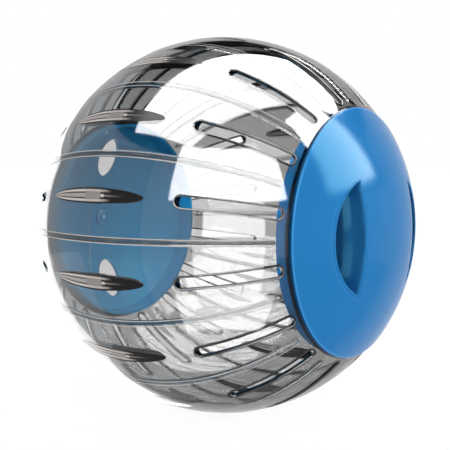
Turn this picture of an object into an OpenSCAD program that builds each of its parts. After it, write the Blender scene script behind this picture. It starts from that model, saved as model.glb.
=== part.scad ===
// Hamster ball: two clear half shells, clipped together at the seam, and two
// blue push-in doors, one with a pair of finger pockets, one with vent holes.
// The ball's axis is +X, from the vent door to the grip door, +Z is up, and
// the origin is the ball's centre. Millimetres.

/* [Ball] */
// Outer radius of the clear ball
ball_r = 90; // [84:1:110]
// Thickness of the clear wall
wall = 2; // [1.6:0.1:2.6]

/* [Ribs and slots] */
// Number of ribs round the ball, with a row of slots between each pair
bays = 16; // [12:1:18]
// Radius of the bead that makes a rib
rib_r = 1.1; // [0.8:0.1:1.5]
// How far a rib stands proud inside the ball
rib_h = 1.2; // [0.9:0.1:1.6]
// Distance along the ball from a rib's end to the door hole
rib_gap = 7.9; // [6:0.1:14]
// Width of an air slot
slot_w = 4.3; // [3:0.1:6]
// Length of an air slot along the ball
slot_len = 42; // [20:1:44]
// Distance along the ball from a slot's end to the door hole
slot_gap = 4.9; // [4:0.1:9]

/* [Seam bosses] */
// Length of a boss from tip to tip, across the seam
boss_len = 50.4; // [36:0.1:54]
// Width of a boss at the seam
boss_w = 6.4; // [5.6:0.1:8]
// Thickness of a boss, from the ball's outer surface inwards
boss_t = 4.2; // [4:0.1:6]
// Width of the clip block in the middle of a boss
clip_w = 7.4; // [7:0.1:10]
// How far the clip block reaches into the left half
clip_left = 3.4; // [2.5:0.1:6]
// How far the clip block reaches into the right half
clip_right = 5.2; // [5:0.1:8]
// Width of the tongue that joins the halves
tongue_w = 3.6; // [2.5:0.1:4]
// Thickness of that tongue
tongue_t = 1.8; // [1.4:0.1:2.2]
// How far the tongue reaches into the right half
tongue_len = 4.4; // [3:0.1:5]
// Clearance round the tongue in its socket
tongue_fit = 0.2; // [0.1:0.05:0.3]

/* [Door seats] */
// Radius of the round hole at each end of the ball
hole_r = 52.4; // [46:0.1:56]
// Clearance between a door and the ball
door_fit = 0.3; // [0.2:0.05:0.5]

/* [Doors] */
// Thickness of the domed wall
door_wall = 2.4; // [1.8:0.1:3]
// Thickness of the flange that lies on the ball
flange_t = 0.9; // [0.7:0.1:1.2]
// How far the flange stands out past the skirt
flange_w = 2.3; // [1.5:0.1:3]
// Thickness of the skirt that pushes into the hole
skirt_wall = 1.8; // [1.4:0.1:2.4]
// How deep the skirt reaches below the edge of the hole
skirt_depth = 8.8; // [6:0.1:14]

/* [Finger grip] */
// Width of the grip bar between the finger pockets
bar_w = 44; // [36:1:50]
// Radius of the round side of a finger pocket
pocket_r = 25; // [20:0.5:28]
// Distance from the axis to the round side of a pocket
pocket_reach = 37.4; // [34:0.1:42]
// Depth of the pocket floor below the top of the dome
pocket_depth = 14.2; // [10:0.1:20]
// Wall of the pocket, inside the door
pocket_wall = 1.8; // [1.4:0.1:2.6]
// Rounding of the bar's edge at the pocket
bar_round = 4; // [2:0.1:5]

/* [Vent holes] */
// Distance from the axis to the middle of a vent hole
vent_pitch = 33.8; // [24:0.1:36]
// Length of a vent hole, towards the axis
vent_len = 20.4; // [12:0.1:24]
// Width of a vent hole
vent_w = 14.6; // [9:0.1:16]
// Radius of the round hub inside the vent door
hub_r = 4.2; // [3:0.1:7]
// Height of that hub
hub_h = 1.5; // [1:0.1:4]

/* [Hidden] */
$fn = 96;
clear_tint = [0.86, 0.9, 0.93, 0.35];
door_blue = [0.13, 0.45, 0.76];
// Overrun of every cut
over = 1;

bay_angle = 360 / bays;
inner_r = ball_r - wall;

// Angle at the ball's centre of a length along the ball's surface
function arc_angle(len) = len / ball_r * 180 / PI;

// Angles from the seam plane towards a door
hole_angle = acos(hole_r / ball_r);
rib_end = hole_angle - arc_angle(rib_gap);
slot_end = hole_angle - arc_angle(slot_gap);
slot_start = slot_end - arc_angle(slot_len);
slot_round = arc_angle(slot_w / 2);

rib_path_r = inner_r - rib_h + rib_r;
// Radius of the two arcs that make a boss of this length and width
boss_arc_r = (pow(boss_len / 2, 2) + pow(boss_w / 2, 2)) / boss_w;
boss_floor_r = ball_r - boss_t;
tongue_mid = ball_r - boss_t / 2;
socket_w = tongue_w + 2 * tongue_fit;
socket_t = tongue_t + 2 * tongue_fit;
socket_len = tongue_len + tongue_fit;

skirt_r = hole_r - door_fit;
flange_r = skirt_r + flange_w;
seat_r = ball_r + door_fit;
dome_r = seat_r + flange_t;
dome_inner_r = dome_r - door_wall;
// Height of the hole's edge on the outer surface, above the ball's centre
hole_edge = sqrt(pow(ball_r, 2) - pow(hole_r, 2));
skirt_end = hole_edge - skirt_depth;

pocket_floor = dome_r - pocket_depth;
pocket_mid = pocket_reach - pocket_r;
// Height at which the dome passes the edge of the grip bar's top
bar_top = sqrt(pow(dome_r, 2) - pow(bar_w / 2 - bar_round, 2));

// Number of points round a vent hole
vent_points = 48;
hub_seat = dome_inner_r - hub_h;

// Everything below is made with the ball's axis upright. These two lay it down.
module to_right() {
    rotate([0, 90, 0]) children();
}

module to_left() {
    mirror([1, 0, 0]) rotate([0, 90, 0]) children();
}

// One copy of its children at each rib, or half a bay on at each slot row
module round_ball(offset_share = 0) {
    for (i = [0 : bays - 1])
        rotate([0, 0, (i + offset_share) * bay_angle]) children();
}

// Half a ball, above the seam plane
module half_ball(r) {
    intersection() {
        sphere(r);
        cylinder(h = r + over, r = r + over);
    }
}

// A bead that follows the inner wall from the seam to just short of the door
module rib() {
    rotate([90, 0, 0])
        rotate_extrude(angle = rib_end)
            translate([rib_path_r, 0]) circle(rib_r, $fn = 24);
}

// A cutter that goes through the wall along a line at this angle from the seam
module wall_drill(angle, r) {
    rotate([0, 90 - angle, 0])
        translate([0, 0, inner_r - 2 * over]) cylinder(h = wall + 4 * over, r = r, $fn = 32);
}

// A slot with round ends, cut square to the wall
module slot_cut() {
    low = slot_start + slot_round;
    high = slot_end - slot_round;
    near = inner_r - 3 * over;
    far = (ball_r + over) / cos((high - low) / 2);
    rotate([90, 0, 0])
        linear_extrude(slot_w, center = true)
            polygon([
                [near * cos(low), near * sin(low)],
                [far * cos(low), far * sin(low)],
                [far * cos(high), far * sin(high)],
                [near * cos(high), near * sin(high)],
            ]);
    wall_drill(low, slot_w / 2);
    wall_drill(high, slot_w / 2);
}

// The upper half of a boss: a leaf shape with a clip block at the seam
module boss(clip_len) {
    leaf_low = boss_floor_r - 2 * over;
    intersection() {
        intersection_for (side = [-1, 1])
            translate([leaf_low, side * (boss_arc_r - boss_w / 2), 0])
                rotate([0, 90, 0]) cylinder(h = boss_t + 3 * over, r = boss_arc_r, $fn = 180);
        translate([0, -boss_w, 0]) cube([ball_r + over, 2 * boss_w, boss_len]);
    }
    translate([leaf_low, -clip_w / 2, 0]) cube([boss_t + 3 * over, clip_w, clip_len]);
}

module bosses(clip_len) {
    difference() {
        intersection() {
            round_ball(0.5) boss(clip_len);
            sphere(ball_r);
        }
        sphere(boss_floor_r);
    }
}

// The clear half without what joins it to the other
module half_shell(clip_len) {
    difference() {
        union() {
            difference() {
                half_ball(ball_r);
                sphere(inner_r);
            }
            round_ball() rib();
            bosses(clip_len);
        }
        cylinder(h = ball_r + over, r = hole_r);
        round_ball(0.5) slot_cut();
    }
}

// The right half has a socket in each clip block
module shell_right() {
    color(clear_tint)
        to_right()
            difference() {
                half_shell(clip_right);
                round_ball(0.5)
                    translate([tongue_mid - socket_t / 2, -socket_w / 2, -over])
                        cube([socket_t, socket_w, socket_len + over]);
            }
}

// The left half has a tongue on each, which reaches across the seam
module shell_left() {
    color(clear_tint)
        to_left()
            union() {
                half_shell(clip_left);
                round_ball(0.5)
                    translate([tongue_mid - tongue_t / 2, -tongue_w / 2, -tongue_len])
                        cube([tongue_t, tongue_w, tongue_len + over]);
            }
}

// A domed disc with a flange that lies on the ball and a skirt in its hole
module door_body() {
    difference() {
        intersection() {
            sphere(dome_r);
            cylinder(h = dome_r, r = flange_r);
        }
        difference() {
            sphere(dome_inner_r);
            difference() {
                cylinder(h = dome_r, r = skirt_r);
                cylinder(h = dome_r, r = skirt_r - skirt_wall);
            }
        }
        difference() {
            sphere(seat_r);
            cylinder(h = dome_r, r = skirt_r);
        }
        translate([0, 0, -over]) cylinder(h = skirt_end + over, r = flange_r + over);
    }
}

// Half moon beside the grip bar, grown by the wall for the pocket's outside
module half_moon(grow, low) {
    intersection() {
        translate([pocket_mid, 0, low]) cylinder(h = dome_r - low + over, r = pocket_r + grow);
        translate([bar_w / 2 - grow, -dome_r, low]) cube([dome_r, 2 * dome_r, dome_r - low + over]);
    }
}

// What rounds the bar's edge above a pocket
module bar_rounding() {
    intersection() {
        translate([pocket_mid, 0, pocket_floor]) cylinder(h = pocket_depth + over, r = pocket_r);
        difference() {
            translate([bar_w / 2 - bar_round, -dome_r, bar_top - bar_round])
                cube([bar_round + over, 2 * dome_r, bar_round + pocket_depth]);
            translate([bar_w / 2 - bar_round, dome_r, bar_top - bar_round])
                rotate([90, 0, 0]) cylinder(h = 2 * dome_r, r = bar_round, $fn = 48);
        }
    }
}

module grip_door() {
    color(door_blue)
        to_right()
            rotate([0, 0, 90])
                difference() {
                    door_body();
                    for (side = [0, 180])
                        rotate([0, 0, side]) {
                            half_moon(pocket_wall, pocket_floor - pocket_wall);
                            bar_rounding();
                        }
                }
}

// The cup that lines one half moon in the grip door
module finger_pocket(turn) {
    color(door_blue)
        to_right()
            rotate([0, 0, turn])
                difference() {
                    intersection() {
                        sphere(dome_r);
                        half_moon(pocket_wall, pocket_floor - pocket_wall);
                    }
                    half_moon(0, pocket_floor);
                    bar_rounding();
                }
}

module pocket_front() {
    finger_pocket(-90);
}

module pocket_back() {
    finger_pocket(90);
}

// An oval hole, cut straight through along the axis
module vent_cut() {
    translate([vent_pitch, 0, skirt_end])
        linear_extrude(dome_r)
            polygon([
                for (i = [0 : vent_points - 1])
                    let (turn = (i + 0.5) * 360 / vent_points)
                    [vent_len / 2 * cos(turn), vent_w / 2 * sin(turn)]
            ]);
}

module vent_door() {
    color(door_blue)
        to_left()
            difference() {
                union() {
                    door_body();
                    translate([0, 0, hub_seat]) cylinder(h = hub_h + door_wall / 2, r = hub_r);
                }
                for (side = [0, 180])
                    rotate([0, 0, side]) vent_cut();
            }
}

shell_right();
shell_left();
grip_door();
pocket_front();
pocket_back();
vent_door();
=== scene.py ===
import bpy
import math
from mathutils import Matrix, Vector
from mathutils.geometry import delaunay_2d_cdt


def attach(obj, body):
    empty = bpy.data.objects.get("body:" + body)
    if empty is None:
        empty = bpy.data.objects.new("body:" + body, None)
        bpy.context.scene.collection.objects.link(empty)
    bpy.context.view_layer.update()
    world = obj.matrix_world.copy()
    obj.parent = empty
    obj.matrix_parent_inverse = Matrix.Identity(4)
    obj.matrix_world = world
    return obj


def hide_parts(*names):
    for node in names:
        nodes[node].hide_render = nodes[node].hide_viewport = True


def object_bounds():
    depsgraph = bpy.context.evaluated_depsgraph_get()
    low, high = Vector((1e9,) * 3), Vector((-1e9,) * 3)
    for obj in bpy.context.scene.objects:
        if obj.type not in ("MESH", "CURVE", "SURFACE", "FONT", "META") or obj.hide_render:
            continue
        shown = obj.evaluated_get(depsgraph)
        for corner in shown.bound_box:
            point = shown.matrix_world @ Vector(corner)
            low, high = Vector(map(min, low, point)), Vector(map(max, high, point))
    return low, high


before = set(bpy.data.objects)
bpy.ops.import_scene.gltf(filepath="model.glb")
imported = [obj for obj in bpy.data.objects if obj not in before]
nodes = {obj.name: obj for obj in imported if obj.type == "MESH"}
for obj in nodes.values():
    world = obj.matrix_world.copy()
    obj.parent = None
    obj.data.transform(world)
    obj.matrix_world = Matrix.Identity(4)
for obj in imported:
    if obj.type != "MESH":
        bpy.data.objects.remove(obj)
cadLow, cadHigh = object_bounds()
ballRadius = cadHigh.z
print("frame loaded, ball radius", round(ballRadius, 4))


# Camera, as the photograph was taken: distance in ball radii, angles in degrees from the front
cameraSet = {"distance": 4.243, "azimuth": 37.465, "elevation": 4.524, "lens": 62.0, "sensor": 36.0}


def makeCamera():
    data = bpy.data.cameras.new("camera")
    data.lens = cameraSet["lens"]
    data.sensor_width = cameraSet["sensor"]
    data.clip_start = 0.01
    camera = bpy.data.objects.new("camera", data)
    bpy.context.scene.collection.objects.link(camera)
    turn = math.radians(cameraSet["azimuth"])
    lift = math.radians(cameraSet["elevation"])
    back = Vector((math.sin(turn) * math.cos(lift), -math.cos(turn) * math.cos(lift), math.sin(lift)))
    camera.location = back * cameraSet["distance"] * ballRadius
    camera.rotation_mode = "QUATERNION"
    camera.rotation_quaternion = (-back).to_track_quat("-Z", "Y")
    bpy.context.scene.camera = camera


makeCamera()
print("camera placed")


# A socket that takes part in sums: numbers add Math nodes, colours add Mix nodes.
# One without an output only makes nodes
class Sock:
    def __init__(self, tree, out=None, colour=False):
        self.tree = tree
        self.out = out
        self.colour = colour

    def feed(self, target, value):
        if isinstance(value, bpy.types.Node):
            self.tree.links.new(value.outputs[0], target)
        elif isinstance(value, Sock):
            self.tree.links.new(value.out, target)
        elif target.type == "RGBA":
            target.default_value = (*value, 1) if isinstance(value, tuple) else (value, value, value, 1)
        else:
            target.default_value = value

    # any node: its settings first, then its sockets by name, or by number as i0, i1 and so on
    def node(self, kind, settings=None, **inputs):
        made = self.tree.nodes.new(kind)
        for name, value in (settings or {}).items():
            if name == "stops":
                for i, (place, colour) in enumerate(value):
                    element = made.color_ramp.elements[i] if i < 2 else made.color_ramp.elements.new(place)
                    element.position = place
                    element.color = (*colour, 1)
            else:
                setattr(made, name, value)
        for name, value in inputs.items():
            key = int(name[1:]) if name[0] == "i" and name[1:].isdigit() else name.replace("_", " ")
            self.feed(made.inputs[key], value)
        return made

    def math(self, operation, *values):
        made = self.node("ShaderNodeMath", {"operation": operation})
        for i, value in enumerate((self, *values)):
            self.feed(made.inputs[i], value)
        return Sock(self.tree, made.outputs[0])

    def mix(self, other, share, kind="MIX"):
        settings = {"data_type": "RGBA", "blend_type": kind}
        made = self.node("ShaderNodeMix", settings, i0=share, i6=self, i7=other)
        return Sock(self.tree, made.outputs[2], True)

    def combine(self, kind, other):
        if self.colour or isinstance(other, tuple) or getattr(other, "colour", False):
            return self.mix(other, 1.0, kind)
        return self.math(kind, other)

    def __add__(self, other): return self.combine("ADD", other)
    def __radd__(self, other): return self.combine("ADD", other)
    def __sub__(self, other): return self.combine("SUBTRACT", other)
    def __rsub__(self, other): return self.combine("MULTIPLY", -1.0).combine("ADD", other)
    def __mul__(self, other): return self.combine("MULTIPLY", other)
    def __rmul__(self, other): return self.combine("MULTIPLY", other)

    # masks with soft edges: 1 above a level, or 1 between two
    def above(self, low, soft):
        rise = self.node("ShaderNodeMapRange", {"interpolation_type": "SMOOTHSTEP"}, Value=self,
                         From_Min=low - soft, From_Max=low + soft)
        return Sock(self.tree, rise.outputs[0])

    def between(self, low, high, soft):
        return self.above(low, soft) * (1 - self.above(high, soft))


def startMaterial(name):
    material = bpy.data.materials.new(name)
    material.use_nodes = True
    return material, material.node_tree.nodes["Principled BSDF"], Sock(material.node_tree)


def setSurface(maker, shader):
    maker.feed(maker.tree.nodes["Material Output"].inputs["Surface"], shader)


def dress(thing, material):
    thing.data.materials.clear()
    thing.data.materials.append(material)


# Pieces are worked out in millimetres, and their meshes are in metres
metre = 0.001


def clamp(value, low=0.0, high=1.0):
    return max(low, min(high, value))


def circle(radius, count):
    turns = [2 * math.pi * i / count for i in range(count)]
    return [(radius * math.cos(turn), radius * math.sin(turn)) for turn in turns]


# Four-sided faces between two rows of points
def bridge(first, second, closed=True, flip=False):
    count = len(first)
    quads = [(first[i], second[i], second[(i + 1) % count], first[(i + 1) % count])
             for i in range(count if closed else count - 1)]
    return [(a, d, c, b) for a, b, c, d in quads] if flip else quads


# Points that lie closer together than this would tangle the mesh
def thinOut(points, least):
    kept, cells = [], {}
    for point in points:
        cell = (math.floor(point.x / least), math.floor(point.y / least))
        around = [(cell[0] + i, cell[1] + j) for i in (-1, 0, 1) for j in (-1, 0, 1)]
        near = [other for key in around for other in cells.get(key, ())]
        if all((other - point).length > least for other in near):
            kept.append(point)
            cells.setdefault(cell, []).append(point)
    return kept


def addPiece(name, places, faces, normals=None):
    mesh = bpy.data.meshes.new(name)
    mesh.from_pydata(places, [], faces)
    if normals:
        mesh.shade_smooth()
        mesh.normals_split_custom_set_from_vertices(normals)
    piece = bpy.data.objects.new(name, mesh)
    bpy.context.scene.collection.objects.link(piece)
    return piece


# Merge doubled points, turn the faces outwards, and smooth edges flatter than the angle
def finishMesh(piece, angle):
    bpy.ops.object.select_all(action="DESELECT")
    piece.select_set(True)
    bpy.context.view_layer.objects.active = piece
    bpy.ops.object.mode_set(mode="EDIT")
    bpy.ops.mesh.select_all(action="SELECT")
    bpy.ops.mesh.remove_doubles(threshold=0.002 * metre)
    bpy.ops.mesh.normals_make_consistent(inside=False)
    bpy.ops.object.mode_set(mode="OBJECT")
    bpy.ops.object.shade_smooth_by_angle(angle=math.radians(angle))


# Clear half shells: one bay between two ribs is meshed, then repeated round the axis
shell = {
    # millimetres from the middle or the axis, and degrees along the bay from the seam
    "radius": 90.0, "wall": 2.0, "bays": 16, "doorHole": 52.4, "seamGap": 0.004,
    "slotWidth": 4.3, "slotFrom": 24.53, "slotTo": 51.27, "edgeRound": 0.5, "innerRound": 0.4,
    "endSlope": {"seam": 1.5, "door": 0.4}, "endReach": 5.0,  # how far a slot's end walls slope
    "ribRadius": 1.1, "ribPath": 87.9, "ribEnd": 49.36,
    "rimFrom": 52.0, "rimSlope": 0.94,  # the inner wall is drawn in by this much at the door hole
    # points of the mesh: round a slot, across a bay, and away from the slot and the rib
    "endSteps": 12, "sideSteps": 26, "turnSteps": 9,
    "slotRings": (0.05, 0.14, 0.28, 0.45, 0.62, 0.82, 1.1), "slotClear": 1.4,
    "ribRings": (0.3, 0.55, 0.8, 0.96, 1.06, 1.15, 1.4), "ribClear": 1.7, "leastGap": 0.02, "slopeStep": 0.03,
    # looks
    "ior": 1.55, "smoke": 0.05, "density": 290.0, "seamPass": 0.88,
    "slotPaintedShade": 0.99, "slotPaintedShadeReach": 0.75, "ribPaintedShade": 0.45, "rimPaintedShade": 0.9, "rimPaintedShadeFrom": 52.4,
    "ribCore": 1.0, "ribHighlightWhite": 0.62, "ribHighlightShare": 0.8, "ribHighlightTo": 1.42,
}
innerRadius = shell["radius"] - shell["wall"]
halfBay = math.radians(180 / shell["bays"])
holeAngle = math.acos(shell["doorHole"] / shell["radius"])
ribEnd = math.radians(shell["ribEnd"])
slotRound = shell["slotWidth"] / 2
slotLow = math.radians(shell["slotFrom"]) + slotRound / shell["radius"]
slotHigh = math.radians(shell["slotTo"]) - slotRound / shell["radius"]


# Where a point lies: its coordinates, the angle from its bay's middle, and the radius from the axis
def bayCoordinates(maker):
    place = Sock(maker.tree, maker.node("ShaderNodeTexCoord").outputs["Object"])
    split = maker.node("ShaderNodeSeparateXYZ", Vector=place)
    x, y, z = (Sock(maker.tree, split.outputs[i]) * (1 / metre) for i in range(3))
    turn = z.math("ARCTAN2", y).math("WRAP", 2 * halfBay, 0.0) - halfBay
    return place, (x, y, z), turn, (y * y + z * z).math("SQRT")


# Smoky clear plastic, with painted shade along the slots, along the middle of the ribs and at the rim of the
# door hole, and a painted highlight on the ribs' flanks
def clearPlastic():
    material, shader, maker = startMaterial("clearPlastic")
    shader.inputs["Transmission Weight"].default_value = 1.0
    shader.inputs["Roughness"].default_value = 0.0
    shader.inputs["IOR"].default_value = shell["ior"]
    place, (x, y, z), turn, radius = bayCoordinates(maker)
    rise = x.math("ABSOLUTE").math("ARCTAN2", radius * turn.math("COSINE"))
    past = (rise - rise.math("MAXIMUM", slotLow).math("MINIMUM", slotHigh)) * shell["radius"]
    side = radius * turn.math("SINE")
    # painted shade: the plastic darkens close round each slot, standing in for the dark slot edges
    slotShadeMask = (past * past + side * side).math("SQRT").between(0, slotRound + shell["slotPaintedShadeReach"], 0.2)
    onRib = 1 - rise.above(ribEnd + 0.01, 0.005)
    fromRib = radius * (halfBay - turn.math("ABSOLUTE"))
    # painted shade: the middle of each rib is darker
    ribCore = fromRib.between(-1, shell["ribCore"], 0.12) * onRib
    # painted shade: the wall darkens at the rim of the door hole, as the shade under the door's flange
    rimShadeMask = x.math("ABSOLUTE").math("ARCTAN2", radius).above(math.radians(shell["rimPaintedShadeFrom"]), 0.003)
    tone = (1 - slotShadeMask * shell["slotPaintedShade"]) * (1 - ribCore * shell["ribPaintedShade"])
    tone = tone * (1 - rimShadeMask * shell["rimPaintedShade"])
    colour = maker.node("ShaderNodeCombineColor", Red=tone, Green=tone, Blue=tone)
    maker.feed(shader.inputs["Base Color"], colour)
    smoke = maker.node("ShaderNodeVolumeAbsorption", Color=shell["smoke"], Density=shell["density"])
    maker.feed(maker.tree.nodes["Material Output"].inputs["Volume"], smoke)
    # painted highlight: the flanks of the ribs get a white matt stripe on the outside, standing in for the
    # bright lines along them
    outside = (x * x + radius * radius).math("SQRT").above(shell["radius"] - 0.5, 0.2)
    flank = fromRib.between(shell["ribCore"], shell["ribHighlightTo"], 0.1) * onRib * outside
    ribHighlightWhite = maker.node("ShaderNodeBsdfDiffuse", Color=shell["ribHighlightWhite"])
    wall = maker.node("ShaderNodeMixShader", i0=flank * shell["ribHighlightShare"], i1=shader, i2=ribHighlightWhite)
    # the two halves touch at the seam, so there most light passes straight on
    touch = x.math("ABSOLUTE").math("LESS_THAN", 0.01)
    passed = maker.node("ShaderNodeBsdfTransparent")
    setSurface(maker, maker.node("ShaderNodeMixShader", i0=touch * shell["seamPass"], i1=wall, i2=passed))
    return material


# Place in a bay: along the axis, outwards at the bay's middle, and sideways
def onBay(radius, rise, turn):
    return Vector((math.sin(rise), math.cos(rise) * math.cos(turn), math.cos(rise) * math.sin(turn))) * radius


# The same place in one of the bays round the axis, mirrored for the left half
def toBay(along, out, side, bay, mirror):
    turn = (bay + 0.5) * 2 * halfBay
    sin, cos = math.sin(turn), math.cos(turn)
    return Vector((along * mirror, side * sin - out * cos, out * sin + side * cos))


# How far an edge rounded to this radius falls, near the edge
def arcDrop(distance, radius):
    if distance >= radius:
        return 0.0
    reach = radius - max(distance, 0.0)
    return radius - math.sqrt(max(radius * radius - reach * reach, 0.0))


# How far a place lies past the slot's straight part, and from the slot's middle line
def fromSlotLine(place):
    rise = math.atan2(place.x, place.y)
    past = (rise - clamp(rise, slotLow, slotHigh)) * shell["radius"]
    return past, math.hypot(past, place.z)


def slotDistance(place):
    return fromSlotLine(place)[1] - slotRound


# The end walls of a slot slope, so its inner edge is drawn in at both ends
def endPull(place):
    past, away = fromSlotLine(place)
    fall = clamp(1 - (away - slotRound) / shell["endReach"])
    return past / max(away, 0.001) * fall * shell["endSlope"]["door" if past > 0 else "seam"]


def ribDistance(place):
    aside = abs(place.z) * math.cos(halfBay) - place.y * math.sin(halfBay)
    past = max(0.0, math.asin(clamp(place.x / place.length, -1)) - ribEnd) * innerRadius
    return math.hypot(aside, past)


def outerHeight(place):
    return shell["radius"] - arcDrop(slotDistance(place), shell["edgeRound"])


def innerHeight(place):
    low = innerRadius
    aside = ribDistance(place)
    if aside < shell["ribRadius"]:
        low = min(low, shell["ribPath"] - math.sqrt(shell["ribRadius"] ** 2 - aside ** 2))
    return low + arcDrop(slotDistance(place), shell["innerRound"])


# Walk round the slot: angle of its middle line, then the way outwards, along and across it
def slotWalk():
    ends, sides = shell["endSteps"], shell["sideSteps"]
    path = []
    for start, stop, way in ((slotHigh, slotLow, 1.0), (slotLow, slotHigh, -1.0)):
        for i in range(ends + 1):
            turn = math.pi * i / ends - way * math.pi / 2
            path.append((start, math.cos(turn), math.sin(turn)))
        path += [(start + (stop - start) * i / sides, 0.0, way) for i in range(1, sides)]
    return path


# Ring of points round the slot, this far outside its edge
def slotRing(grow):
    spread = slotRound + grow
    ring = []
    for middle, ahead, aside in slotWalk():
        rise = middle + ahead * spread / shell["radius"]
        side = aside * spread
        up = math.sqrt(shell["radius"] ** 2 - side ** 2)
        place = Vector((math.sin(rise) * up, math.cos(rise) * up, side))
        ring.append((math.asin(place.x / shell["radius"]), math.atan2(place.z, place.y)))
    return ring


def onSlotEdge(rise, turn):
    return abs(slotDistance(onBay(shell["radius"], rise, turn))) < 0.01


def seamTurns():
    steps = shell["turnSteps"]
    turns = [halfBay * i / steps for i in range(-steps, steps + 1)]
    for aside in shell["ribRings"]:
        turns += [halfBay - aside / innerRadius, aside / innerRadius - halfBay]
    turns = sorted(turns)
    return [turn for i, turn in enumerate(turns) if i == 0 or turn - turns[i - 1] > 1e-4]


# Rows along a bay, in degrees from the seam: close together at the seam, the rib's end and the rim
def riseRows():
    rows = [0.0, 0.03, 0.07, 0.4, 1.0, 2.0]
    rows += [3.4 + 1.5 * i for i in range(31)]
    rows += [math.degrees(ribEnd + past / innerRadius) for past in (0.0, 0.3, 0.6, 0.85, 1.0, 1.1, 1.4)]
    rows += [51.5, 52.6, 53.6, math.degrees(holeAngle)]
    return [math.radians(row) for row in sorted(rows)]


# Points on a bay's border, and free ones inside it, as angles along the bay and round the axis
def bayFlat(layer):
    rows = riseRows()
    edge = {(rise, turn) for rise in (0.0, holeAngle) for turn in seamTurns()}
    edge |= {(rise, turn) for rise in rows for turn in (-halfBay, halfBay)}
    free = set()
    steps = shell["turnSteps"]
    for rise in rows[1:-1]:
        for i in range(1 - steps, steps):
            turn = halfBay * i / steps
            place = onBay(innerRadius, rise, turn)
            nearRib = layer == "inner" and ribDistance(place) < shell["ribClear"]
            if slotDistance(place) >= shell["slotClear"] and not nearRib:
                free.add((rise, turn))
    for grow in shell["slotRings"]:
        free |= set(slotRing(grow))
    if layer == "inner":
        for aside in shell["ribRings"]:
            spots = [(rise, aside) for rise in rows[1:] if rise <= ribEnd]
            for i in range(1, 7):
                spin = math.radians(15 * i)
                spots.append((ribEnd + aside * math.sin(spin) / innerRadius, aside * math.cos(spin)))
            for rise, away in spots:
                free.add((rise, halfBay - math.asin(away / (innerRadius * math.cos(rise)))))
        free |= {(rise, -turn) for rise, turn in free if turn > 0}
    return sorted(edge), sorted(free - edge)


# One layer of one bay: places, normals, angles and faces, with the slot left open
def meshBay(layer):
    outer = layer == "outer"
    height = outerHeight if outer else innerHeight
    base = shell["radius"] if outer else innerRadius
    scale = shell["radius"]
    step = shell["slopeStep"]
    edge, free = bayFlat(layer)
    spots = edge + slotRing(0.0) + free
    flat = [Vector((rise * scale, turn * math.cos(rise) * scale)) for rise, turn in spots]
    flat = thinOut(flat, shell["leastGap"])
    points, edges, faces = delaunay_2d_cdt(flat, [], [], 0, 1e-4)[:3]
    places, normals, angles = [], [], []
    for point in points:
        rise = point.x / scale
        turn = point.y / (scale * math.cos(rise))
        angles.append((rise, turn))
        place = onBay(scale, rise, turn)
        out = place.normalized()
        ahead = Vector((math.cos(rise), -math.sin(rise) * math.cos(turn), -math.sin(rise) * math.sin(turn)))
        slopes = []
        for way in (ahead, out.cross(ahead)):
            plus = height((out * base + way * step).normalized() * base)
            minus = height((out * base - way * step).normalized() * base)
            slopes.append((plus - minus) / (2 * step))
        normal = (out - ahead * slopes[0] - out.cross(ahead) * slopes[1]).normalized()
        normals.append(normal if outer else -normal)
        tall = height(out * base)
        if not outer:
            rimFrom = math.radians(shell["rimFrom"])
            past = clamp((rise - rimFrom) / (holeAngle - rimFrom))
            rise -= math.radians(shell["rimSlope"]) * past * past + endPull(place) / innerRadius
            place = onBay(scale, rise, turn)
        spot = place.normalized() * tall
        spot.x = max(spot.x, 0.0) + shell["seamGap"] / 2
        places.append(spot)
    kept = [face if outer else face[::-1] for face in faces if not all(onSlotEdge(*angles[i]) for i in face)]
    used = sorted({i for face in kept for i in face})
    lookup = {old: new for new, old in enumerate(used)}
    return ([places[i] for i in used], [normals[i] for i in used], [angles[i] for i in used],
            [tuple(lookup[i] for i in face) for face in kept])


# One bay with both layers and the walls between them. The last value pairs each point on its
# right side with the one on its left side, which the next bay brings
def wallBay():
    places, normals, angles, faces, layers = [], [], [], [], []
    for layer in ("outer", "inner"):
        start = len(places)
        ownPlaces, ownNormals, ownAngles, ownFaces = meshBay(layer)
        places += ownPlaces
        normals += ownNormals
        angles += ownAngles
        faces += [tuple(i + start for i in face) for face in ownFaces]
        layers.append(range(start, len(places)))

    def border(test, key):
        return [sorted((i for i in ids if test(*angles[i])), key=lambda i: angles[i][key]) for ids in layers]

    def nearest(ids, ring):
        near = [i for i in ids if onSlotEdge(*angles[i])]
        return [min(near, key=lambda i: math.dist(angles[i], spot)) for spot in ring]

    outer, inner = border(lambda rise, turn: rise < 1e-5, 1)
    faces += bridge(outer, inner, closed=False, flip=True)
    outer, inner = border(lambda rise, turn: rise > holeAngle - 1e-5, 1)
    faces += bridge(inner, outer, closed=False, flip=True)
    outer, inner = (nearest(ids, slotRing(0.0)) for ids in layers)
    faces += bridge(outer, inner, flip=True)
    left = sum(border(lambda rise, turn: turn < -halfBay + 1e-6, 0), [])
    right = sum(border(lambda rise, turn: turn > halfBay - 1e-6, 0), [])
    return places, normals, faces, dict(zip(right, left))


def makeShell(name, mirror, wall, material):
    places, normals, faces, partner = wall
    bays = shell["bays"]
    own = [i for i in range(len(places)) if i not in partner]
    slotOf = {i: n for n, i in enumerate(own)}
    allPlaces, allNormals, allFaces = [], [], []
    for bay in range(bays):
        allPlaces += [toBay(*(places[i] * metre), bay, mirror) for i in own]
        allNormals += [toBay(*normals[i], bay, mirror) for i in own]
        following = (bay + 1) % bays
        for face in faces:
            ids = [bay * len(own) + slotOf[i] if i in slotOf else following * len(own) + slotOf[partner[i]]
                   for i in face]
            allFaces.append(ids if mirror > 0 else ids[::-1])
    piece = addPiece(name + "Clear", allPlaces, allFaces, allNormals)
    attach(piece, "ball")
    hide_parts(name)
    dress(piece, material)


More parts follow.
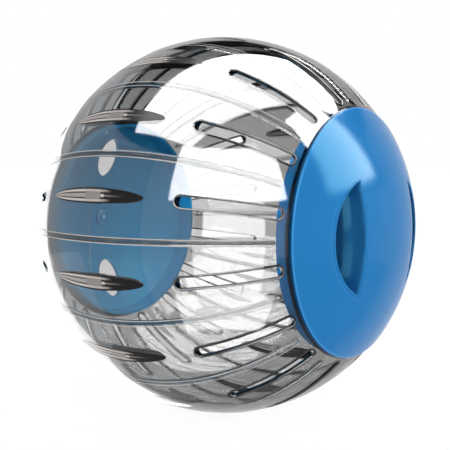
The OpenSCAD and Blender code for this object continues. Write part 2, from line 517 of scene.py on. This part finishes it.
def makeShells():
    clear = clearPlastic()
    wall = wallBay()
    for name, mirror in (("shell_right", 1), ("shell_left", -1)):
        dress(nodes[name], clear)
        makeShell(name, mirror, wall, clear)


makeShells()
print("shells done")


# Ribbed bosses through the wall, one per bay and half, with a clip block at the seam
boss = {
    "top": 90.03, "length": 25.2, "half": 3.2, "depth": 4.2,
    "clipHalf": 3.25, "clip": {"shell_right": 5.2, "shell_left": 3.4},
    "lobeDepth": 0.4, "lobePower": 0.6, "sidePower": 14, "tipPower": 8, "along": 40, "across": 30,
    # looks: painted highlight streaks lie at this share of the half width
    "highlightStreak": (0.46, 0.78), "warmth": (1, 0.93, 0.89), "rough": 0.25, "gloss": 0.15,
}


# Bosses with light and shade painted into the colour: the half by the vent door painted light, the other half
# painted dark, with painted highlight streaks along them and a painted glint past the clip block
def bossPlastic(name, mirror):
    material, shader, maker = startMaterial(name + "Boss")
    clip = boss["clip"][name]
    place, (x, y, z), turn, radius = bayCoordinates(maker)
    along = x * mirror
    share = along * (1 / boss["length"])
    width = (1 - (share * share).math("MINIMUM", 0.99)).math("SQRT") * boss["half"]
    part = (turn * boss["top"]).math("ABSOLUTE").math("DIVIDE", width)
    highlightStreak = part.between(*boss["highlightStreak"], 0.06)
    block = along.between(-1, clip, 0.1)
    if mirror > 0:
        # the half by the grip door: painted dark, with a painted highlight along its middle, a painted glint
        # past the clip block and painted highlight streaks
        middle = part.between(-1, 0.14, 0.08) * (1 - along.above(10.0, 8.0))
        glint = part.between(-1, 0.2, 0.08) * along.between(clip + 0.2, clip + 1.8, 0.2)
        tone = 0.008 + middle * 0.3 + glint * 0.5 + highlightStreak * (1 - along.above(clip + 3.0, 3.0)) * 0.5
    else:
        # the half by the vent door: painted light, with painted highlight streaks
        tone = 0.02 + part.between(-1, 0.28, 0.05) * 0.42 + highlightStreak * 0.68
    # the clip block: grey, with painted highlight streaks
    tone = tone * (1 - block) + block * (0.03 + part.between(-1, 0.42, 0.05) * 0.3 + highlightStreak * 0.55)
    red, green, blue = (tone * level for level in boss["warmth"])
    colour = maker.node("ShaderNodeCombineColor", Red=red, Green=green, Blue=blue)
    maker.feed(shader.inputs["Base Color"], colour)
    shader.inputs["Roughness"].default_value = boss["rough"]
    shader.inputs["Specular IOR Level"].default_value = boss["gloss"]
    return material


def makeBosses(name, mirror):
    length, clip, rows, wide = boss["length"], boss["clip"][name], boss["along"], boss["across"] + 1
    places, faces = [], []
    for bay in range(shell["bays"]):
        start = len(places)
        for layer in (0, 1):
            for i in range(rows + 1):
                along = length * math.sin(math.pi / 2 * i / rows)
                leaf = boss["half"] * math.sqrt(max(1 - (along / length) ** 2, 0.0004))
                width = boss["clipHalf"] if along < clip else leaf
                tip = 1 - (along / length) ** boss["tipPower"]
                for j in range(wide):
                    part = math.sin(math.pi / 2 * (2 * j / boss["across"] - 1))
                    bulge = abs(math.cos(1.5 * math.pi * part)) ** boss["lobePower"]
                    lobe = 1.0 if along < clip else 1 - boss["lobeDepth"] + boss["lobeDepth"] * bulge
                    deep = boss["depth"] * lobe * (1 - abs(part) ** boss["sidePower"]) ** 0.5 * tip
                    side = part * width
                    out = math.sqrt((boss["top"] - layer * deep) ** 2 - along ** 2 - side ** 2)
                    places.append(toBay(along + shell["seamGap"] * 2, out, side, bay, mirror) * metre)
        count = wide * (rows + 1)
        for i in range(rows):
            for j in range(boss["across"]):
                a = start + i * wide + j
                faces.append((a, a + 1, a + wide + 1, a + wide))
                faces.append((a + count, a + count + wide, a + count + wide + 1, a + count + 1))
        rim = [start + j for j in range(wide)]
        rim += [start + i * wide + wide - 1 for i in range(1, rows + 1)]
        rim += [start + rows * wide + j for j in range(wide - 2, -1, -1)]
        rim += [start + i * wide for i in range(rows - 1, 0, -1)]
        faces += bridge(rim, [a + count for a in rim])
    piece = addPiece(name + "Bosses", places, [face if mirror > 0 else face[::-1] for face in faces])
    finishMesh(piece, 40)
    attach(piece, "ball")
    dress(piece, bossPlastic(name, mirror))


makeBosses("shell_right", 1)
makeBosses("shell_left", -1)
print("bosses done")


# Grip door: dome with two scooped finger pockets, flange, and the skirt that seats in the ball
door = {
    # radii of the dome, of its hollow side and of the ball under the flange, from the ball's middle
    "dome": 91.2, "inside": 88.8, "seat": 90.3,
    # radii from the axis, places along it, and the small sizes of the rounded edges
    "flange": 54.4, "lip": 53.9, "skirt": 52.1, "skirtInner": 50.3, "skirtTop": 72.4, "skirtEnd": 64.37,
    "edgeDrop": 0.6, "seatRound": 0.1, "endRound": 0.4,
    # a pocket is an arc cut off at the grip bar, scooped out below a soft edge
    "pocketArc": 25.0, "pocketArcY": 12.4, "pocketBar": 22.0, "pocketWall": 1.8,
    "scoopReach": 7.6, "scoopDepth": 9.0, "edgeSoft": 0.55, "edgeDip": 0.12,
    "turns": 144, "rings": 27, "arcSteps": 26, "barSteps": 24, "pocketClear": 1.2, "leastGap": 0.04,
    "slopeStep": 0.04,
    "pocketRings": (-0.9, -0.55, -0.4, -0.25, -0.1, 0.05, 0.2, 0.35, 0.55, 0.8, 1.2, 1.7, 2.3, 3.0, 3.9, 4.9,
                    6.0, 7.0),
    # looks: the painted shade and painted highlight tones follow the blue, and the outline of a pocket has a
    # painted highlight ring and a painted shade line
    "blue": (0.024, 0.225, 0.57), "shade": (0.08, 0.19, 0.24), "edgeHighlightFrom": 72.0,
    "scoopShade": 0.62, "darkFrom": 25.0, "darkSoft": 2.2, "highlightRingAt": (-2.0, -1.6), "shadeLineAt": (-1.55, -1.2),
    "gloss": 0.14, "glossTint": (0.3, 0.95, 1, 1), "rough": 0.11,
}


# Fine grain of a moulded part: a value near 0 to 1 for roughness, and a shallow bump
def grain(maker, place):
    noise = maker.node("ShaderNodeTexNoise", Vector=place, Scale=900.0, Detail=3.0)
    bump = maker.node("ShaderNodeBump", Strength=0.25, Distance=0.02 * metre, Height=noise)
    return Sock(maker.tree, noise.outputs[0]), bump


# Glossy blue plastic with painted light: painted shade in the pockets and on the flange's edge, painted
# highlights along the rim and round the pockets
def doorPlastic(name, base, pockets):
    material, shader, maker = startMaterial(name)
    place, (x, y, z), turn, radius = bayCoordinates(maker)
    fine, bump = grain(maker, place)
    patches = maker.node("ShaderNodeTexNoise", Vector=place, Scale=14.0, Detail=2.0)
    broad = Sock(maker.tree, patches.outputs[0])
    deep = tuple(part * share for part, share in zip(base, door["shade"]))
    highlightTone = tuple(min(1.0, part * 1.35 + 0.03) for part in base)
    colour = Sock(maker.tree, maker.node("ShaderNodeRGB").outputs[0], True)
    colour.out.default_value = (*base, 1)
    # painted shade on the flange's edge, and a painted highlight as a pale line along the rim of the grip
    # door's face
    edge = radius.between(door["lip"] - 0.4, door["flange"] - 0.35, 0.1) * x.above(door["edgeHighlightFrom"], 0.2)
    colour = colour.mix(deep, radius.above(door["flange"] - 0.22, 0.06)).mix(highlightTone, edge * 0.8)
    if pockets:
        away = y.math("ABSOLUTE")
        aside = away - door["pocketArcY"]
        inset = door["pocketArc"] - (aside * aside + z * z).math("SQRT")
        depth = door["dome"] - (x * x + radius * radius).math("SQRT")
        # painted shade: the pockets darken with depth, less near the grip bar
        pocketShade = inset.above(-0.2, 0.3) * away.above(door["pocketBar"] - 0.1, 0.3) * depth.above(0.6, 0.5)
        far = away.above(door["darkFrom"], door["darkSoft"])
        pocketShade = pocketShade * (door["scoopShade"] + far * (1 - door["scoopShade"]))
        # painted highlight ring and painted shade line round each pocket's outline
        beside = inset.math("MINIMUM", away - door["pocketBar"])
        ring = beside.between(*door["highlightRingAt"], 0.15)
        shadeLine = beside.between(*door["shadeLineAt"], 0.15)
        colour = colour.mix(deep, pocketShade).mix(highlightTone, ring * 0.5).mix(deep, shadeLine * 0.35)
    maker.feed(shader.inputs["Base Color"], colour * (0.94 + broad * 0.12))
    maker.feed(shader.inputs["Roughness"], door["rough"] + fine * 0.05 + broad * 0.03)
    maker.feed(shader.inputs["Normal"], bump)
    shader.inputs["Specular IOR Level"].default_value = door["gloss"]
    shader.inputs["Specular Tint"].default_value = door["glossTint"]
    return material


# How far a place lies inside a pocket's outline, in either pocket
def pocketInset(y, z):
    fromArc = door["pocketArc"] - math.hypot(abs(y) - door["pocketArcY"], z)
    return min(fromArc, abs(y) - door["pocketBar"])


def doorHeight(y, z, layer):
    inset = pocketInset(y, z) + (0 if layer == "outer" else door["pocketWall"])
    radius = door["dome"] if layer == "outer" else door["inside"]
    top = math.sqrt(radius ** 2 - y * y - z * z)
    soft = door["edgeSoft"]
    if inset <= -soft:
        return top
    share = clamp(1 - max(inset, 0.0) / door["scoopReach"])
    deep = door["scoopDepth"] * math.sqrt(1 - share ** 2.4)
    lip = clamp((inset + soft) / (2 * soft))
    if layer == "inner":
        return min(top, top - deep * lip - door["pocketWall"] + door["dome"] - door["inside"])
    return top - deep * lip - (1 - lip) * door["edgeDip"] * clamp(1 + inset / soft)


# Points along a pocket's outline, drawn in by the inset
def pocketRing(inset):
    arc, bar = door["pocketArc"] - inset, door["pocketBar"] + inset
    reach = bar - door["pocketArcY"]
    if reach >= arc:
        return []
    spread = math.acos(reach / arc)
    turns = [spread * i / door["arcSteps"] for i in range(-door["arcSteps"], door["arcSteps"] + 1)]
    ring = [(door["pocketArcY"] + arc * math.cos(turn), arc * math.sin(turn)) for turn in turns]
    tall = arc * math.sin(spread)
    return ring + [(bar, tall * i / door["barSteps"]) for i in range(1 - door["barSteps"], door["barSteps"])]


def doorFlat():
    points = circle(door["lip"], door["turns"])
    for inset in door["pocketRings"]:
        for y, z in pocketRing(inset):
            points += [(y, z), (-y, z)]
    for i in range(1, door["rings"]):
        for y, z in circle(door["lip"] * i / door["rings"], max(8, 6 * i)):
            if not -door["pocketClear"] <= pocketInset(y, z) <= door["pocketRings"][-1]:
                points.append((y, z))
    return points


# Cross-section from the dome's edge round the flange and down the skirt to the hollow side:
# radius, place along the axis, and the normal's parts outwards and along
def doorProfile():
    flange, skirt, inner = door["flange"], door["skirt"], door["skirtInner"]
    end, drop, seatRound, endRound = door["skirtEnd"], door["edgeDrop"], door["seatRound"], door["endRound"]
    edge = math.sqrt(door["dome"] ** 2 - door["lip"] ** 2)
    seat = math.sqrt(door["seat"] ** 2 - flange ** 2)
    root = math.sqrt(door["seat"] ** 2 - skirt ** 2)
    return [
        ((door["lip"] + flange) / 2, edge - 0.4 * drop, 0.8, 0.6), (flange, edge - drop, 1, 0),
        (flange, seat + seatRound, 1, 0), (flange - seatRound, seat + 0.3 * seatRound, 0, -1),
        (skirt + 0.5 * seatRound, root - 0.5 * seatRound, 0, -1), (skirt, root - 2 * seatRound, 1, 0),
        (skirt, end + endRound, 1, 0), (skirt - 0.375 * endRound, end + 0.25 * endRound, 0.7, -0.7),
        (skirt - 1.25 * endRound, end, 0, -1), (inner + endRound, end, 0, -1),
        (inner, end + endRound, -1, 0), (inner, door["skirtTop"], -1, 0),
    ]


def makeDoor(material):
    turns = door["turns"]
    step = door["slopeStep"]
    flat = thinOut([Vector(point) for point in doorFlat()], door["leastGap"])
    points, edges, triangles = delaunay_2d_cdt(flat, [], [], 0, 1e-4)[:3]
    places, normals, faces, rims = [], [], [], []
    for layer, sign in (("outer", 1), ("inner", -1)):
        start = len(places)
        for y, z in points:
            if layer == "inner":
                y, z = y * door["skirtInner"] / door["lip"], z * door["skirtInner"] / door["lip"]
            slopes = [(doorHeight(y + a, z + b, layer) - doorHeight(y - a, z - b, layer)) / (2 * step)
                      for a, b in ((step, 0), (0, step))]
            places.append(Vector((doorHeight(y, z, layer), y, z)))
            normals.append(Vector((1, -slopes[0], -slopes[1])).normalized() * sign)
        faces += [tuple(start + i for i in (face if sign > 0 else face[::-1])) for face in triangles]
        rims.append([start + min(range(len(points)), key=lambda n: math.dist(points[n], spot))
                     for spot in circle(door["lip"], turns)])
    rows = [rims[0]]
    for radius, along, outward, forward in doorProfile():
        rows.append(list(range(len(places), len(places) + turns)))
        places += [Vector((along, y, z)) for y, z in circle(radius, turns)]
        normals += [Vector((forward, outward * y, outward * z)).normalized() for y, z in circle(1, turns)]
    rows.append(rims[1])
    for first, second in zip(rows, rows[1:]):
        faces += bridge(first, second)
    piece = addPiece("gripDoor", [place * metre for place in places], faces, normals)
    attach(piece, "grip_door")
    for name in ("grip_door", "pocket_front", "pocket_back"):
        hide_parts(name)
        dress(nodes[name], material)
    dress(piece, material)


makeDoor(doorPlastic("doorPlastic", door["blue"], True))
print("grip door done")


# Vent door: the CAD model's own shape in its own blue, with painted shade on its flange's edge
ventDoor = {"blue": (0.022, 0.262, 0.5)}

dress(nodes["vent_door"], doorPlastic("ventPlastic", ventDoor["blue"], False))
print("vent door done")


# Round hub inside the vent door: a raised ring with a domed pin, in millimetres
hub = {
    "radius": 4.2, "ring": 3.5, "ringFoot": 2.8, "root": 88.4, "face": 87.3, "ringUp": 0.5, "round": 0.3,
    "pin": 1.9, "pinGap": 0.2, "turns": 48, "blue": (0.03, 0.3, 0.56), "gloss": 0.9,
}


def hubPlastic():
    material = doorPlastic("hubPlastic", hub["blue"], False)
    shader = material.node_tree.nodes["Principled BSDF"]
    shader.inputs["Specular IOR Level"].default_value = hub["gloss"]
    shader.inputs["Specular Tint"].default_value = (1, 1, 1, 1)
    return material


def makeHub():
    pin, face, soft, turns = hub["pin"], hub["face"], hub["round"], hub["turns"]
    foot = face + hub["pinGap"]
    # radius, and distance from the ball's middle
    profile = [
        (hub["radius"], hub["root"]), (hub["radius"], face - soft),
        (hub["radius"] - soft, face - hub["ringUp"]), (hub["ring"] - soft, face - hub["ringUp"]),
        (hub["ringFoot"], face + soft), (pin + hub["pinGap"], face + soft),
    ]
    for lift in range(0, 90, 10):
        profile.append((pin * math.cos(math.radians(lift)), foot - pin * math.sin(math.radians(lift))))
    places = [Vector((-along, y, z)) for radius, along in profile for y, z in circle(radius, turns)]
    rows = [range(row * turns, (row + 1) * turns) for row in range(len(profile))]
    faces = [face for first, second in zip(rows, rows[1:]) for face in bridge(first, second)]
    top, back = len(places), len(places) + 1
    places += [Vector((pin - foot, 0, 0)), Vector((-hub["root"], 0, 0))]
    faces += [(rows[-1][i], top, rows[-1][(i + 1) % turns]) for i in range(turns)]
    faces += [(i, (i + 1) % turns, back) for i in range(turns)]
    piece = addPiece("ventHub", [place * metre for place in places], faces)
    finishMesh(piece, 35)
    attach(piece, "vent_door")
    dress(piece, hubPlastic())


makeHub()
print("hub done")


# Studio: a dark room with large soft boxes, and plain white to the camera. Angles are in degrees,
# and each brightness is given as seen in the outer surface, then from inside the ball
studioSet = {
    "steps": [(-90, 0.35), (-3, 0.3), (12, 0.3), (20, 0.25), (26, 0.02), (90, 0.02)],
    "soft": 1.0, "diffuse": 0.12,
    "strip": {
        # on a ceiling one unit up: its turn in degrees, its four edges, their softness, brightness
        "turn": 12.7, "left": -0.47, "right": 0.365, "near": -0.85, "far": 1.13, "soft": 0.02,
        "level": (12.0, 55.0),
    },
    "cards": [
        # azimuth from the front towards the grip door, elevation, brightness
        (4, 74, 17, 48, 14.0, 55.0),
        (-14, 90, 12, 63, 0.0, 55.0),
        (25, 60, -2, 17, 9.5, 0.5),
        (19, 60, -35, -7, 6.2, 0.4),
        (4, 70, -57, -35, 6.6, 0.4),
        (101, 141, 17, 58, 20.0, 18.0),
        (60, 150, -14, 12, 1.0, 0.4),
        (60, 150, -60, -14, 0.35, 0.4),
        (-130, -55, -45, -10, 1.2, 1.0),
        (-130, -12, -45, 41.5, 0.84, 1.0),
        (-12, 21, -45, 41.5, 1.15, 1.0),
        (-150, 20, -75, -45, 0.6, 0.6),
        (-135, -93, -40, 14, 3.3, 1.0),
        (-181, -129, -50, 30, 0.75, 0.75),
        (150, 181, -50, 28, 0.75, 0.75),
    ],
}


# How much a ray comes straight from the camera, also through clear walls, how much it comes from
# inside the ball after a reflection, and whether it lights a matt surface
def lightPath(maker):
    rays = maker.node("ShaderNodeLightPath")
    glossy, diffuse = (Sock(maker.tree, rays.outputs[name]).math("MINIMUM", 1.0)
                       for name in ("Glossy Depth", "Diffuse Depth"))
    passed = Sock(maker.tree, rays.outputs["Transmission Depth"]).math("GREATER_THAN", 2.5)
    straight = (1 - glossy) * (1 - diffuse)
    inside = glossy * (1 - diffuse) * passed
    return straight, inside, Sock(maker.tree, rays.outputs["Is Diffuse Ray"])


def makeWorld():
    world = bpy.data.worlds.new("studio")
    bpy.context.scene.world = world
    world.use_nodes = True
    maker = Sock(world.node_tree)
    background = maker.tree.nodes["Background"]
    place = Sock(maker.tree, maker.node("ShaderNodeTexCoord").outputs["Generated"])
    split = maker.node("ShaderNodeSeparateXYZ", Vector=place)
    x, y, z = (Sock(maker.tree, split.outputs[i]) for i in range(3))
    straight, inside, diffuseRay = lightPath(maker)
    azimuth = x.math("ARCTAN2", y * -1.0) * math.degrees(1)
    elevation = z.math("ARCSINE") * math.degrees(1)
    stops = [(0.5 + step / 180, (level,) * 3) for step, level in studioSet["steps"]]
    strength = Sock(maker.tree, maker.node("ShaderNodeValToRGB", {"stops": stops},
                                           Fac=elevation * (1 / 180) + 0.5).outputs["Color"])
    soft = studioSet["soft"]
    for left, right, low, high, level, insideLevel in studioSet["cards"]:
        mask = azimuth.between(left, right, soft) * elevation.between(low, high, soft)
        strength = strength.math("MAXIMUM", mask * (level + inside * (insideLevel - level)))
    # one box lies flat overhead, so its edges are straight lines on a ceiling
    strip = studioSet["strip"]
    turn = math.radians(strip["turn"])
    height = z.math("MAXIMUM", 0.01)
    along = (x * math.sin(turn) + y * math.cos(turn)).math("DIVIDE", height)
    across = (x * math.cos(turn) - y * math.sin(turn)).math("DIVIDE", height)
    mask = along.between(strip["near"], strip["far"], strip["soft"])
    mask = mask * across.between(strip["left"], strip["right"], strip["soft"])
    level, insideLevel = strip["level"]
    strength = strength.math("MAXIMUM", mask * (level + inside * (insideLevel - level)))
    total = straight + (1 - straight) * strength * (1 - diffuseRay * (1 - studioSet["diffuse"]))
    maker.feed(background.inputs["Strength"], total)
    background.inputs["Color"].default_value = (1, 1, 1, 1)


# Floor: white to the camera and matt, with the object's shadow, and left out of reflections
floorSet = {"size": 40, "white": 0.9, "rough": 0.9, "glow": 1.08, "glowDrop": 0.36, "glowShare": 0.85}


def makeFloor():
    bpy.ops.object.select_all(action="DESELECT")
    bpy.ops.mesh.primitive_plane_add(size=floorSet["size"], location=(0, 0, cadLow.z))
    floor = bpy.context.object
    floor.name = "floor"
    material, shader, maker = startMaterial("floorWhite")
    shader.inputs["Base Color"].default_value = (*(floorSet["white"],) * 3, 1)
    shader.inputs["Roughness"].default_value = floorSet["rough"]
    shader.inputs["Specular IOR Level"].default_value = 0.0
    straight, inside, diffuseRay = lightPath(maker)
    brightness = floorSet["glow"] - diffuseRay * floorSet["glowDrop"]
    glow = maker.node("ShaderNodeEmission", Color=1.0, Strength=brightness)
    matt = maker.node("ShaderNodeMixShader", i0=floorSet["glowShare"], i1=shader, i2=glow)
    hidden = maker.node("ShaderNodeBsdfTransparent")
    shown = straight.math("MAXIMUM", diffuseRay)
    setSurface(maker, maker.node("ShaderNodeMixShader", i0=shown, i1=hidden, i2=matt))
    floor.data.materials.append(material)


makeWorld()
makeFloor()
bpy.context.scene.view_settings.view_transform = "Standard"
print("studio done")
